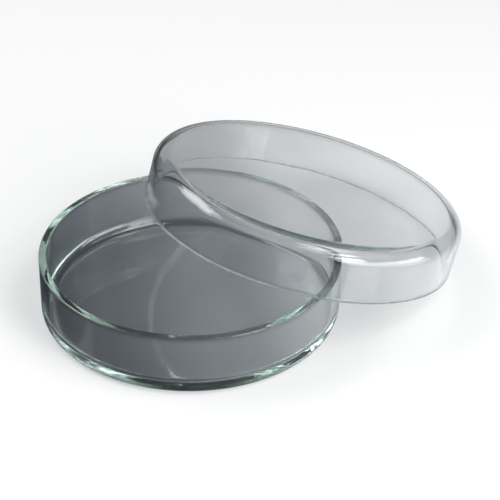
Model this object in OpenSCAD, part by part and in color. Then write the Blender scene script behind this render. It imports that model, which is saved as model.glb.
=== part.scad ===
// Glass petri dish with its loose lid leaning on it.
// The dish stands flat at the origin. The lid, turned with its flat disc
// up, rests on the dish's rim at two points and on the table at its low end.

/* [Dish] */
// Outside diameter of the dish
dish_d = 92; // [80:0.5:93]
// Height of the dish, from its underside to its rim
dish_h = 20; // [14:0.5:22]
// Thickness of the dish's wall
dish_wall = 2.3; // [2:0.1:2.8]
// Thickness of the dish's floor
dish_floor = 2.4; // [1.8:0.1:3.2]
// Outside radius of the corner between underside and wall
dish_heel_r = 3; // [2:0.25:5]
// Inside radius of the corner between floor and wall
dish_fillet_r = 3.2; // [1:0.1:4]

/* [Lid] */
// Outside diameter of the lid
lid_d = 100; // [98:0.5:106]
// Height of the lid, from its rim to its top face
lid_h = 17; // [14:0.5:20]
// Thickness of the lid's skirt
lid_wall = 2; // [1.8:0.1:2.2]
// Thickness of the lid's disc
lid_disc = 2.2; // [1.6:0.1:2.6]
// Outside radius of the shoulder between disc and skirt
lid_shoulder_r = 5; // [3:0.25:5]
// Inside radius of the shoulder
lid_fillet_r = 3.4; // [2:0.1:4]

/* [Rims] */
// Radius of both edges of the dish's rim, which is nearly flat on top
dish_rim_r = 0.4; // [0.3:0.05:0.8]
// Radius of both edges of the lid's rim, which is fire-polished round
lid_rim_r = 0.85; // [0.3:0.05:0.85]

/* [Lean] */
// How far round the dish's rim the lid rests on it, in degrees from its low side
rest_angle = 67.9; // [62:0.1:70]
// Gap left where the two rims meet
rest_gap = 0.1; // [0.05:0.01:0.2]
// Height of the lid's lowest point above the table
table_gap = 0.1; // [0.05:0.01:0.3]

/* [Hidden] */
$fn = 144;

// Centre circles of the rounded edges that meet: the dish's outer one, and
// the lid's inner one. The lid's outer one is what comes near the table.
dish_edge = dish_d / 2 - dish_rim_r;
lid_inner_edge = lid_d / 2 - lid_wall + lid_rim_r;
lid_outer_edge = lid_d / 2 - lid_rim_r;

// The resting point on the dish, on the +Y side; the other is its mirror image
rest_x = dish_edge * cos(rest_angle);
rest_y = dish_edge * sin(rest_angle);
// The same point measured up the lid's slope from the centre of its rim
rest_slope = sqrt(lid_inner_edge * lid_inner_edge - rest_y * rest_y);

// The two radii where the rims meet, added up
rims = dish_rim_r + lid_rim_r;

// Lean of the lid. Its two roundings lie one above the other, square to the
// lid, so their spacing depends a little on the lean itself.
function lean_at(n) =
    asin((dish_h - rims - table_gap
          + (n == 0 ? rims : (rims + rest_gap) / cos(lean_at(n - 1))))
         / (lid_outer_edge + rest_slope));
lean = lean_at(3);

// Centre of the lid's rim plane
lid_x = rest_x + rest_slope * cos(lean) - lid_rim_r * sin(lean);
lid_z = table_gap + lid_rim_r + lid_outer_edge * sin(lean)
        - lid_rim_r * cos(lean);

// Half of the wall of an open round vessel with a flat bottom, standing on
// its bottom: radius r, height h, wall w, bottom t, outer corner ro and
// inner corner ri, both edges of the rim rounded to e.
module vessel_profile(r, h, w, t, ro, ri, e) {
    difference() {
        union() {
            square([r - ro, h - e]);
            translate([r - ro - 1, ro]) square([ro + 1, h - e - ro]);
            translate([r - ro, ro]) circle(ro);
            translate([r - w + e, h - e]) square([w - 2 * e, e]);
            translate([r - e, h - e]) circle(e);
            translate([r - w + e, h - e]) circle(e);
        }
        // the hollow, with its rounded lower corner
        translate([-1, t]) square([r - w - ri + 1, h]);
        translate([-1, t + ri]) square([r - w + 1, h - e - t - ri]);
        translate([r - w - ri, t + ri]) circle(ri);
    }
}

module vessel(r, h, w, t, ro, ri, e) {
    rotate_extrude() vessel_profile(r, h, w, t, ro, ri, e);
}

module dish_base() {
    color([0.62, 0.70, 0.70, 0.45])
        vessel(dish_d / 2, dish_h, dish_wall, dish_floor,
               dish_heel_r, dish_fillet_r, dish_rim_r);
}

module dish_lid() {
    color([0.78, 0.84, 0.84, 0.40])
        translate([lid_x, 0, lid_z])
            rotate([0, lean, 0])
                translate([0, 0, lid_h])
                    rotate([180, 0, 0])
                        vessel(lid_d / 2, lid_h, lid_wall, lid_disc,
                               lid_shoulder_r, lid_fillet_r, lid_rim_r);
}

dish_base();
dish_lid();
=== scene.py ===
import math
import bpy
import numpy as np
from mathutils import Matrix, Vector


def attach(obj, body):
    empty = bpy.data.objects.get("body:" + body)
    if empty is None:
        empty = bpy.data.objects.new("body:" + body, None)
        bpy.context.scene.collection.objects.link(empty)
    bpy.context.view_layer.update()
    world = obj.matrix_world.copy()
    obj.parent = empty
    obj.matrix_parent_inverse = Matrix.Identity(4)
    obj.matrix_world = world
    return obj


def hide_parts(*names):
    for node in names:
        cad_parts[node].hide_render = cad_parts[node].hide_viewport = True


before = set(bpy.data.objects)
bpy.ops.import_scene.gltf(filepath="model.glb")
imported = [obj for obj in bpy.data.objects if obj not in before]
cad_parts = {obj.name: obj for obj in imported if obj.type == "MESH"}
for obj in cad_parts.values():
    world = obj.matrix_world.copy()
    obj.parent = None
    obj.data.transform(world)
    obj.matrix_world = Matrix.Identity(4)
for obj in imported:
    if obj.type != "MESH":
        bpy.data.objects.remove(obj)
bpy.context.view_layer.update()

MM = 0.001

# ---------------------------------------------------------------- sizes, as in part.scad, in mm
DISH = dict(r=46.0, h=20.0, w=2.3, t=2.4, ro=3.0, ri=3.2, rim=0.4)
LID = dict(r=50.0, h=17.0, w=2.0, t=2.2, ro=5.0, ri=3.4, rim=0.85)
REST_ANGLE, REST_GAP, TABLE_GAP = 67.9, 0.1, 0.1


def lid_pose():
    """Lean and rim centre of the lid, by the same rule as the CAD."""
    dish_edge = DISH["r"] - DISH["rim"]
    rim = LID["rim"]
    inner = LID["r"] - LID["w"] + rim
    outer = LID["r"] - rim
    rims = DISH["rim"] + rim
    rx = dish_edge * math.cos(math.radians(REST_ANGLE))
    ry = dish_edge * math.sin(math.radians(REST_ANGLE))
    slope = math.sqrt(inner * inner - ry * ry)
    lean = math.asin((DISH["h"] - TABLE_GAP) / (outer + slope))
    for _ in range(3):
        lean = math.asin((DISH["h"] - rims - TABLE_GAP
                          + (rims + REST_GAP) / math.cos(lean)) / (outer + slope))
    x = rx + slope * math.cos(lean) - rim * math.sin(lean)
    z = TABLE_GAP + rim + outer * math.sin(lean) - rim * math.cos(lean)
    return lean, x, z


LEAN, LID_X, LID_Z = lid_pose()

# ---------------------------------------------------------------- camera, as fitted to the outline
CAM = dict(f=1599.81, dist=498.00, elev=math.radians(35.365),
           yaw=0.03709, pitch=0.03273, roll=0.02022, psi=math.radians(32.435))
TURN = Matrix.Rotation(-CAM["psi"], 3, "Z")     # camera's own frame to the row frame


def make_camera():
    e = CAM["elev"]
    pos = Vector((0, -math.cos(e), math.sin(e))) * CAM["dist"] * MM
    fwd = -pos.normalized()
    right = Vector((1, 0, 0))
    up = right.cross(fwd)
    fwd = (fwd + CAM["yaw"] * right + CAM["pitch"] * up).normalized()
    right = fwd.cross(Vector((0, 0, 1))).normalized()
    up = right.cross(fwd)
    c, s = math.cos(CAM["roll"]), math.sin(CAM["roll"])
    right, up = c * right + s * up, -s * right + c * up
    right, up, fwd, pos = (TURN @ v for v in (right, up, fwd, pos))
    data = bpy.data.cameras.new("camera")
    data.sensor_width = 36.0
    data.lens = CAM["f"] / 500.0 * 36.0
    data.clip_start, data.clip_end = 0.01, 20.0
    cam = bpy.data.objects.new("camera", data)
    m = Matrix((right, up, -fwd)).transposed().to_4x4()
    m.translation = pos
    cam.matrix_world = m
    bpy.context.scene.collection.objects.link(cam)
    bpy.context.scene.camera = cam
    return cam


make_camera()


def from_camera(az, el, dist):
    """A point that far from the dish: az degrees round to the camera's right, el degrees up."""
    a, e = math.radians(az), math.radians(el)
    v = Vector((math.sin(a) * math.cos(e), -math.cos(a) * math.cos(e), math.sin(e))) * dist
    return TURN @ v


# ---------------------------------------------------------------- glass pieces
def arc(cx, cz, r, a0, a1, n):
    return [(cx + r * math.cos(math.radians(a0 + (a1 - a0) * i / n)),
             cz + r * math.sin(math.radians(a0 + (a1 - a0) * i / n))) for i in range(n + 1)]


def line(p, q, n):
    return [(p[0] + (q[0] - p[0]) * i / n, p[1] + (q[1] - p[1]) * i / n) for i in range(1, n)]


def vessel_profile(r, h, w, t, ro, ri, rim):
    """Half section of the vessel standing on its bottom, from the centre of the
    underside round the outside, over the rim and down to the centre of the floor."""
    heel = arc(r - ro, ro, ro, -90, 0, 22)
    rim_out = arc(r - rim, h - rim, rim, 0, 90, 12)
    rim_in = arc(r - w + rim, h - rim, rim, 90, 180, 12)
    fillet = arc(r - w - ri, t + ri, ri, 0, -90, 20)
    pts = [(0.0, 0.0)]
    pts += line((0, 0), heel[0], 30) + heel
    pts += line(heel[-1], rim_out[0], 18) + rim_out
    pts += line(rim_out[-1], rim_in[0], 6) + rim_in
    pts += line(rim_in[-1], fillet[0], 16) + fillet
    pts += line(fillet[-1], (0, t), 30) + [(0.0, t)]
    return np.array(pts)


def waves(seed, n=7, low=1, high=6):
    """A smooth random ripple over angle and height, between -1 and 1."""
    rng = np.random.default_rng(seed)
    k = rng.integers(low, high + 1, n)
    ph = rng.uniform(0, 2 * math.pi, n)
    q = rng.uniform(-0.12, 0.12, n)
    a = rng.uniform(0.4, 1.0, n)
    a /= a.sum()
    return lambda th, s: sum(a[i] * np.sin(k[i] * th + q[i] * s + ph[i]) for i in range(n))


def make_vessel(name, p, seed, ripple, draw, segments=360):
    prof = vessel_profile(**p)
    r, h, w, t, ro, ri = (p[k] for k in ("r", "h", "w", "t", "ro", "ri"))
    th = np.arange(segments) * 2 * math.pi / segments
    rr, zz = prof[:, 0][:, None], prof[:, 1][:, None]
    th = th[None, :]
    rr, zz = np.broadcast_to(rr, (len(prof), segments)).copy(), np.broadcast_to(zz, (len(prof), segments)).copy()
    thb = np.broadcast_to(th, rr.shape)
    outer_wall, inner_wall = waves(seed), waves(seed + 1)
    fine = waves(seed + 5, 9, 14, 46)
    floor_a, floor_b = waves(seed + 2, 6, 1, 4), waves(seed + 3, 6, 1, 4)
    # hand-finished glass: the wall and the floor vary a little in thickness.
    # Every change goes inwards from the outer faces, so the outside size holds.
    up = np.clip((zz - ro) / (h - ro), 0, 1)
    is_outer = (np.arange(len(prof)) < 1 + 29 + 23 + 17 + 13)[:, None]
    body = np.clip((rr - (r - w - ri)) / 2.0, 0, 1)
    d_out = 0.6 * ripple * (1 + outer_wall(thb, zz)) * body * up * (1 - up) * 4
    d_in = (ripple * inner_wall(thb, zz) + draw * fine(thb, zz)) * body * np.clip((zz - t - ri) / 3, 0, 1) * np.clip((h - p["rim"] - zz) / 3, 0, 1)
    rr = np.where(is_outer, rr - d_out, rr + d_in)
    flat = np.clip((r - w - ri - rr) / 8.0, 0, 1)
    dz = 0.008 * floor_a(thb, rr * 1.2) * flat
    dz_low = 0.005 * (1 + floor_b(thb, rr * 1.2)) * flat * np.clip(rr / 6, 0, 1)
    zz = np.where(is_outer & (zz < 0.5 * t), zz + dz_low, np.where((~is_outer) & (zz < t + 0.2), zz + dz * np.clip(rr / 6, 0, 1), zz))
    n = len(prof)
    co = np.stack([rr * np.cos(thb), rr * np.sin(thb), zz], -1)
    verts = [co[0, 0]] + list(co[1:n - 1].reshape(-1, 3)) + [co[n - 1, 0]]
    faces = []
    idx = lambda i, j: 1 + (i - 1) * segments + (j % segments)
    last = 1 + (n - 2) * segments
    for j in range(segments):
        faces.append((0, idx(1, j + 1), idx(1, j)))
        for i in range(1, n - 2):
            faces.append((idx(i, j), idx(i, j + 1), idx(i + 1, j + 1), idx(i + 1, j)))
        faces.append((last, idx(n - 2, j), idx(n - 2, j + 1)))
    mesh = bpy.data.meshes.new(name)
    verts = np.array(verts)
    mesh.from_pydata((verts * MM).tolist(), [], faces)
    mesh.polygons.foreach_set("use_smooth", np.ones(len(mesh.polygons), bool))
    # what the material reads: the place on the vessel in mm, how close to the rim and
    # to the heel, which is where the material paints shade
    rad = np.hypot(verts[:, 0], verts[:, 1])
    place = mesh.attributes.new("place", "FLOAT_VECTOR", "POINT")
    place.data.foreach_set("vector", verts.astype(np.float32).ravel())
    near_rim = np.clip(1 - (h - verts[:, 2]) / 1.6, 0, 1)
    near_heel = np.clip(1 - np.hypot(np.maximum(r - rad, 0), verts[:, 2]) / (ro * 1.2), 0, 1)
    mesh.attributes.new("rim", "FLOAT", "POINT").data.foreach_set("value", near_rim.astype(np.float32))
    mesh.attributes.new("heel", "FLOAT", "POINT").data.foreach_set("value", near_heel.astype(np.float32))
    wall = np.clip((rad - (r - w - ri)) / (w + ri), 0, 1)
    mesh.attributes.new("wall", "FLOAT", "POINT").data.foreach_set("value", wall.astype(np.float32))
    mesh.update()
    ob = bpy.data.objects.new(name, mesh)
    bpy.context.scene.collection.objects.link(ob)
    return ob


# ---------------------------------------------------------------- materials
def glass(name, body, wall, rim, heel, shadow, soak_density=6.0, ior=1.5):
    mat = bpy.data.materials.new(name)
    mat.use_nodes = True
    nt = mat.node_tree
    nt.nodes.clear()
    N, L = nt.nodes.new, nt.links.new
    out = N("ShaderNodeOutputMaterial")
    place = N("ShaderNodeAttribute"); place.attribute_name = "place"
    a_rim = N("ShaderNodeAttribute"); a_rim.attribute_name = "rim"
    a_heel = N("ShaderNodeAttribute"); a_heel.attribute_name = "heel"
    a_wall = N("ShaderNodeAttribute"); a_wall.attribute_name = "wall"

    def noise(scale, detail=2.0, rough=0.5):
        n = N("ShaderNodeTexNoise")
        n.inputs["Scale"].default_value = scale
        n.inputs["Detail"].default_value = detail
        n.inputs["Roughness"].default_value = rough
        L(place.outputs["Vector"], n.inputs["Vector"])
        return n.outputs["Fac"]

    def remap(src, a, b, c, d):
        m = N("ShaderNodeMapRange")
        L(src, m.inputs["Value"])
        for k, v in zip(("From Min", "From Max", "To Min", "To Max"), (a, b, c, d)):
            m.inputs[k].default_value = v
        return m.outputs["Result"]

    def mix(fac, a, b):
        m = N("ShaderNodeMix"); m.data_type = "RGBA"
        L(fac, m.inputs["Factor"])
        for s, v in ((m.inputs[6], a), (m.inputs[7], b)):
            if isinstance(v, tuple):
                s.default_value = (*v, 1)
            else:
                L(v, s)
        return m.outputs[2]

    # colour: slightly cloudy grey body, with painted shade at the heel, at the rim and along edge-on silhouettes
    cloud = remap(noise(0.035, 3.0), 0.3, 0.7, 0, 1)
    flat = mix(cloud, tuple(c * 0.96 for c in body), tuple(min(1.0, c * 1.04) for c in body))
    upright = mix(cloud, tuple(c * 0.96 for c in wall), tuple(min(1.0, c * 1.04) for c in wall))
    col = mix(a_wall.outputs["Fac"], flat, upright)
    # painted shade: near black at the dish's foot for the dark band where it stands on the table, a little darker at
    # the lid's shoulder edge
    col = mix(remap(a_heel.outputs["Fac"], 0.0, 0.5, 0.0, 0.9), col, heel)
    # painted shade: darker towards the rim for the dark lines along it; on the lid this darker colour also carries a
    # faint green
    col = mix(remap(a_rim.outputs["Fac"], 0.0, 0.7, 0.0, 1.0), col, rim)
    # painted shade: near black where the surface is seen edge-on, drawing dark outlines along every silhouette
    edge_on_shade = N("ShaderNodeLayerWeight"); edge_on_shade.inputs["Blend"].default_value = 0.5
    col = mix(remap(edge_on_shade.outputs["Facing"], 0.76, 0.94, 0.0, 0.92), col, (0.06, 0.09, 0.085))
    bsdf = N("ShaderNodeBsdfPrincipled")
    L(col, bsdf.inputs["Base Color"])
    bsdf.inputs["Transmission Weight"].default_value = 1.0
    bsdf.inputs["IOR"].default_value = ior
    # polish: nearly clear, with faint handling marks
    smear = remap(noise(0.09, 5.0, 0.6), 0.5, 0.8, 0.0, 0.012)
    L(smear, bsdf.inputs["Roughness"])
    # fine draw lines and faint ripple of the pressed surface
    bump = N("ShaderNodeBump")
    bump.inputs["Strength"].default_value = 0.05
    bump.inputs["Distance"].default_value = 0.0001
    L(noise(0.22, 2.0), bump.inputs["Height"])
    L(bump.outputs["Normal"], bsdf.inputs["Normal"])
    # lamps reach what is behind the glass
    clear = N("ShaderNodeBsdfTransparent")
    L(mix(a_wall.outputs["Fac"], shadow[0], shadow[1]), clear.inputs["Color"])
    path = N("ShaderNodeLightPath")
    sh = N("ShaderNodeMixShader")
    L(path.outputs["Is Shadow Ray"], sh.inputs[0])
    L(bsdf.outputs[0], sh.inputs[1])
    L(clear.outputs[0], sh.inputs[2])
    L(sh.outputs[0], out.inputs["Surface"])
    # long ways through the glass turn green
    soak = N("ShaderNodeVolumeAbsorption")
    soak.inputs["Color"].default_value = (0.22, 0.66, 0.53, 1)
    soak.inputs["Density"].default_value = soak_density
    L(soak.outputs[0], out.inputs["Volume"])
    return mat


# the rim and heel colours are painted shade: dark rim lines, a near-black foot on the dish, a darker shoulder edge on
# the lid
dish_mat = glass("dish_glass", (0.955, 0.955, 0.965), (0.955, 0.955, 0.965), (0.40, 0.41, 0.39), (0.09, 0.12, 0.115),
                 ((0.95, 0.955, 0.955), (0.74, 0.76, 0.76)))
lid_mat = glass("lid_glass", (0.96, 0.96, 0.97), (0.96, 0.96, 0.97), (0.70, 0.76, 0.755), (0.80, 0.82, 0.83),
                ((0.95, 0.955, 0.955), (0.86, 0.87, 0.87)))

dish = make_vessel("dish_glass_body", DISH, 11, 0.003, 0.0006)
dish.data.materials.append(dish_mat)
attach(dish, "base")
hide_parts("dish_base")

lid = make_vessel("lid_glass_body", LID, 47, 0.008, 0.005)
lid.data.materials.append(lid_mat)
pose = (Matrix.Translation((LID_X * MM, 0, LID_Z * MM)) @ Matrix.Rotation(LEAN, 4, "Y")
        @ Matrix.Translation((0, 0, LID["h"] * MM)) @ Matrix.Rotation(math.pi, 4, "X"))
lid.data.transform(pose)
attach(lid, "lid")
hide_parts("dish_lid")

# ---------------------------------------------------------------- floor, light
def floor():
    """Pale paper as the camera sees it. For every other ray the floor is painted shade: a sweep
    from near black on the camera's left to light on its right, dimmer further off, as on a studio sweep."""
    mesh = bpy.data.meshes.new("floor")
    s = 3.0
    mesh.from_pydata([(-s, -s, 0), (s, -s, 0), (s, s, 0), (-s, s, 0)], [], [(0, 1, 2, 3)])
    ob = bpy.data.objects.new("floor", mesh)
    bpy.context.scene.collection.objects.link(ob)
    ob.location.z = -0.0001
    mat = bpy.data.materials.new("floor_paper_and_painted_shade")
    mat.use_nodes = True
    nt = mat.node_tree
    nt.nodes.clear()
    N, L = nt.nodes.new, nt.links.new
    out = N("ShaderNodeOutputMaterial")
    pale = N("ShaderNodeBsdfDiffuse")
    pale.inputs["Color"].default_value = (0.84, 0.84, 0.845, 1)
    co = N("ShaderNodeTexCoord")
    dot = N("ShaderNodeVectorMath"); dot.operation = "DOT_PRODUCT"
    L(co.outputs["Object"], dot.inputs[0])
    dot.inputs[1].default_value = tuple(TURN @ Vector((1, 0.12, 0)))
    ramp = N("ShaderNodeMapRange"); ramp.interpolation_type = "LINEAR"
    for k, v in zip(("From Min", "From Max", "To Min", "To Max"), (-0.062, 0.085, 0.0, 1.0)):
        ramp.inputs[k].default_value = v
    L(dot.outputs["Value"], ramp.inputs["Value"])
    # painted shade: near black on the camera's left to pale on its right
    tone = N("ShaderNodeValToRGB")
    tone.color_ramp.interpolation = "EASE"
    for p, c in ((0.0, (0.024, 0.028, 0.035)), (0.24, (0.155, 0.168, 0.187)), (0.52, (0.33, 0.345, 0.37)),
                 (0.72, (0.66, 0.675, 0.695)), (1.0, (0.84, 0.85, 0.865))):
        e = tone.color_ramp.elements.new(p) if p not in (0.0, 1.0) else tone.color_ramp.elements[0 if p == 0 else -1]
        e.position, e.color = p, (*c, 1)
    L(ramp.outputs["Result"], tone.inputs["Fac"])
    swept = N("ShaderNodeBsdfDiffuse")
    far = N("ShaderNodeVectorMath"); far.operation = "LENGTH"
    L(co.outputs["Object"], far.inputs[0])
    # painted shade: the sweep dims further from the dish
    fade = N("ShaderNodeMapRange"); fade.interpolation_type = "SMOOTHSTEP"
    for k, v in zip(("From Min", "From Max", "To Min", "To Max"), (0.085, 0.25, 1.0, 0.40)):
        fade.inputs[k].default_value = v
    L(far.outputs["Value"], fade.inputs["Value"])
    # the painted sweep's colour: the ramp, dimmed with distance
    paper = N("ShaderNodeVectorMath"); paper.operation = "SCALE"
    L(tone.outputs["Color"], paper.inputs[0]); L(fade.outputs["Result"], paper.inputs["Scale"])
    L(paper.outputs[0], swept.inputs["Color"])
    gloss = N("ShaderNodeBsdfGlossy")
    gloss.inputs["Roughness"].default_value = 0.04
    fres = N("ShaderNodeFresnel"); fres.inputs["IOR"].default_value = 1.45
    m1 = N("ShaderNodeMixShader")
    L(fres.outputs["Fac"], m1.inputs[0]); L(swept.outputs[0], m1.inputs[1]); L(gloss.outputs[0], m1.inputs[2])
    # further off the pale paper curves up into the pale room
    away = N("ShaderNodeEmission")
    away.inputs["Color"].default_value = (0.86, 0.87, 0.88, 1)
    reach = N("ShaderNodeMapRange"); reach.interpolation_type = "SMOOTHSTEP"
    for k, v in zip(("From Min", "From Max", "To Min", "To Max"), (0.20, 0.70, 0.0, 1.0)):
        reach.inputs[k].default_value = v
    L(far.outputs["Value"], reach.inputs["Value"])
    seen = N("ShaderNodeMixShader")
    L(reach.outputs["Result"], seen.inputs[0]); L(pale.outputs[0], seen.inputs[1]); L(away.outputs[0], seen.inputs[2])
    # camera rays see the pale paper; every other ray sees the painted sweep
    lp = N("ShaderNodeLightPath")
    m2 = N("ShaderNodeMixShader")
    L(lp.outputs["Is Camera Ray"], m2.inputs[0]); L(m1.outputs[0], m2.inputs[1]); L(seen.outputs[0], m2.inputs[2])
    L(m2.outputs[0], out.inputs["Surface"])
    ob.data.materials.append(mat)
    return ob


floor()


def softbox(name, az, el, dist, size, power, target=(0.02, 0.0, 0.01), colour=(1, 1, 1)):
    data = bpy.data.lights.new(name, "AREA")
    data.shape = "RECTANGLE"
    data.size, data.size_y = size
    data.energy = power
    data.color = colour
    ob = bpy.data.objects.new(name, data)
    pos = from_camera(az, el, dist)
    ob.location = pos
    ob.rotation_euler = (Vector(target) - pos).to_track_quat("-Z", "Y").to_euler()
    bpy.context.scene.collection.objects.link(ob)
    return ob


def panel(name, az, el, radiance, dist=1.2):
    """A softbox that fills az[0]..az[1] and el[0]..el[1] degrees as the dish sees it."""
    w = 2 * dist * math.tan(math.radians(az[1] - az[0]) / 2) * math.cos(math.radians(sum(el) / 2))
    h = 2 * dist * math.tan(math.radians(el[1] - el[0]) / 2)
    return softbox(name, sum(az) / 2, sum(el) / 2, dist, (w, h), math.pi * w * h * radiance)


panel("key", (28, 95), (54, 72), 5)
panel("window", (28, 51), (16, 29), 13)
panel("low_right", (30, 96), (2, 14), 7)
panel("front_right", (34, 58), (36.5, 44), 14)
panel("right", (30, 98), (31, 62), 1.3)
panel("left", (-150, -80), (45, 60), 6)
panel("left_low", (-130, -79), (36, 45), 5)
panel("left_front", (-78, -10), (43, 58), 1.5)
wall = panel("bright_wall", (150, 202), (5, 21), 0.53, 1.0)
wall.visible_camera = False

world = bpy.data.worlds.new("studio")
world.use_nodes = True
wt = world.node_tree
room = wt.nodes["Background"]
room.inputs["Color"].default_value = (0.80, 0.81, 0.83, 1)
room.inputs["Strength"].default_value = 0.06
beyond = wt.nodes.new("ShaderNodeBackground")
beyond.inputs["Color"].default_value = (0.86, 0.87, 0.88, 1)
beyond.inputs["Strength"].default_value = 1.0
lp = wt.nodes.new("ShaderNodeLightPath")
ms = wt.nodes.new("ShaderNodeMixShader")
wt.links.new(lp.outputs["Is Camera Ray"], ms.inputs[0])
wt.links.new(room.outputs[0], ms.inputs[1])
wt.links.new(beyond.outputs[0], ms.inputs[2])
wt.links.new(ms.outputs[0], wt.nodes["World Output"].inputs["Surface"])
bpy.context.scene.world = world

sc = bpy.context.scene
sc.view_settings.view_transform = "Standard"
sc.view_settings.look = "None"
sc.view_settings.exposure = 0.0
sc.cycles.max_bounces = 44
sc.cycles.transmission_bounces = 44
sc.cycles.glossy_bounces = 44
sc.cycles.transparent_max_bounces = 24
sc.cycles.caustics_reflective = False
sc.cycles.caustics_refractive = False
sc.cycles.use_denoising = True
